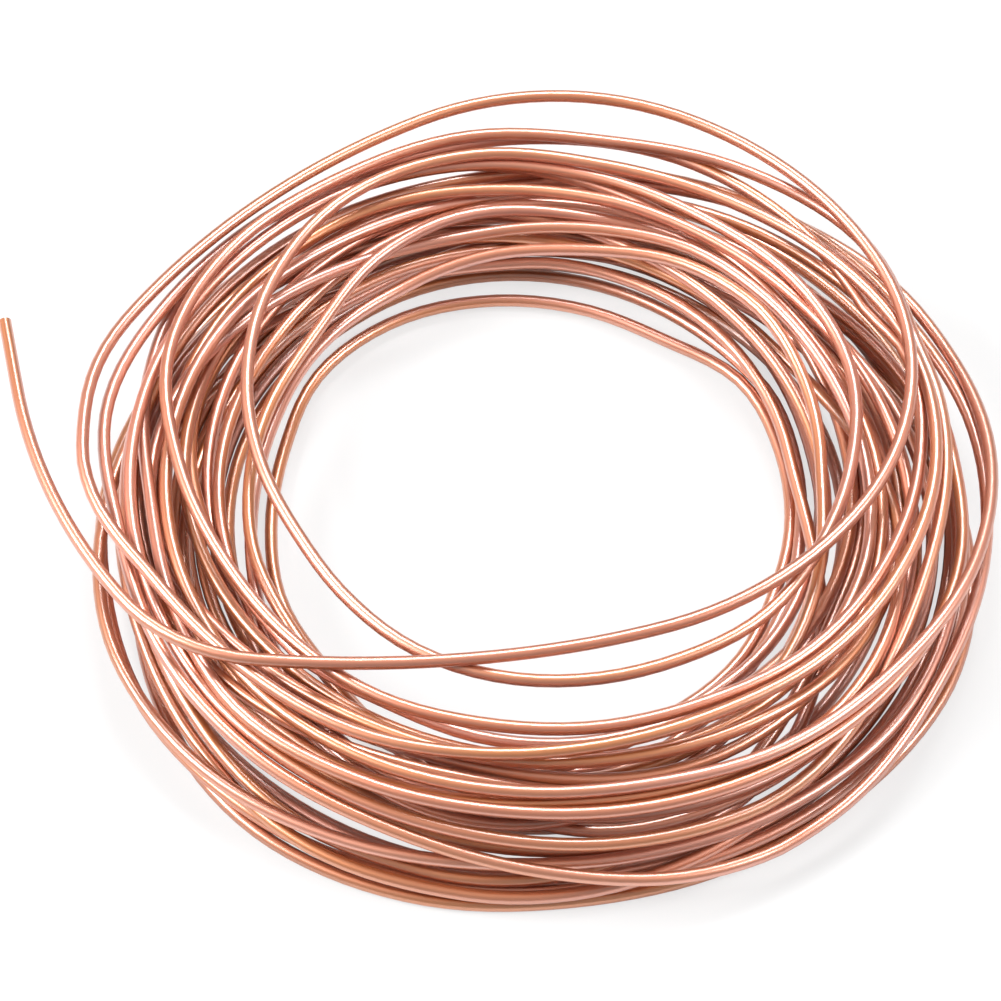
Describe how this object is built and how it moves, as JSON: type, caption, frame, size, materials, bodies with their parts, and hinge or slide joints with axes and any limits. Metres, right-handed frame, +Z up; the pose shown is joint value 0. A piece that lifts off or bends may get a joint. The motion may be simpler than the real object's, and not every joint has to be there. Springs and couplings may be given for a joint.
{
  "type": "copper tube coil",
  "caption": "Loosely wound coil of thin soft copper tube lying flat, with an open eye and its last turn sprung loose on top to a straight cut end.",
  "frame": {"origin": "centre of the coil's eye, on the surface that the coil lies on", "axes": "+Z up along the axis of the turns; the free end of the tube sticks out over the -X side, and the near side of the picture is -Y"},
  "size_m": [0.2256, 0.2084, 0.0314],
  "materials": {
    "copper_tube": "bright soft-drawn copper, satin, slightly tarnished"
  },
  "bodies": {
    "root": {"copper_tube": "copper_tube"}
  },
  "joints": []
}
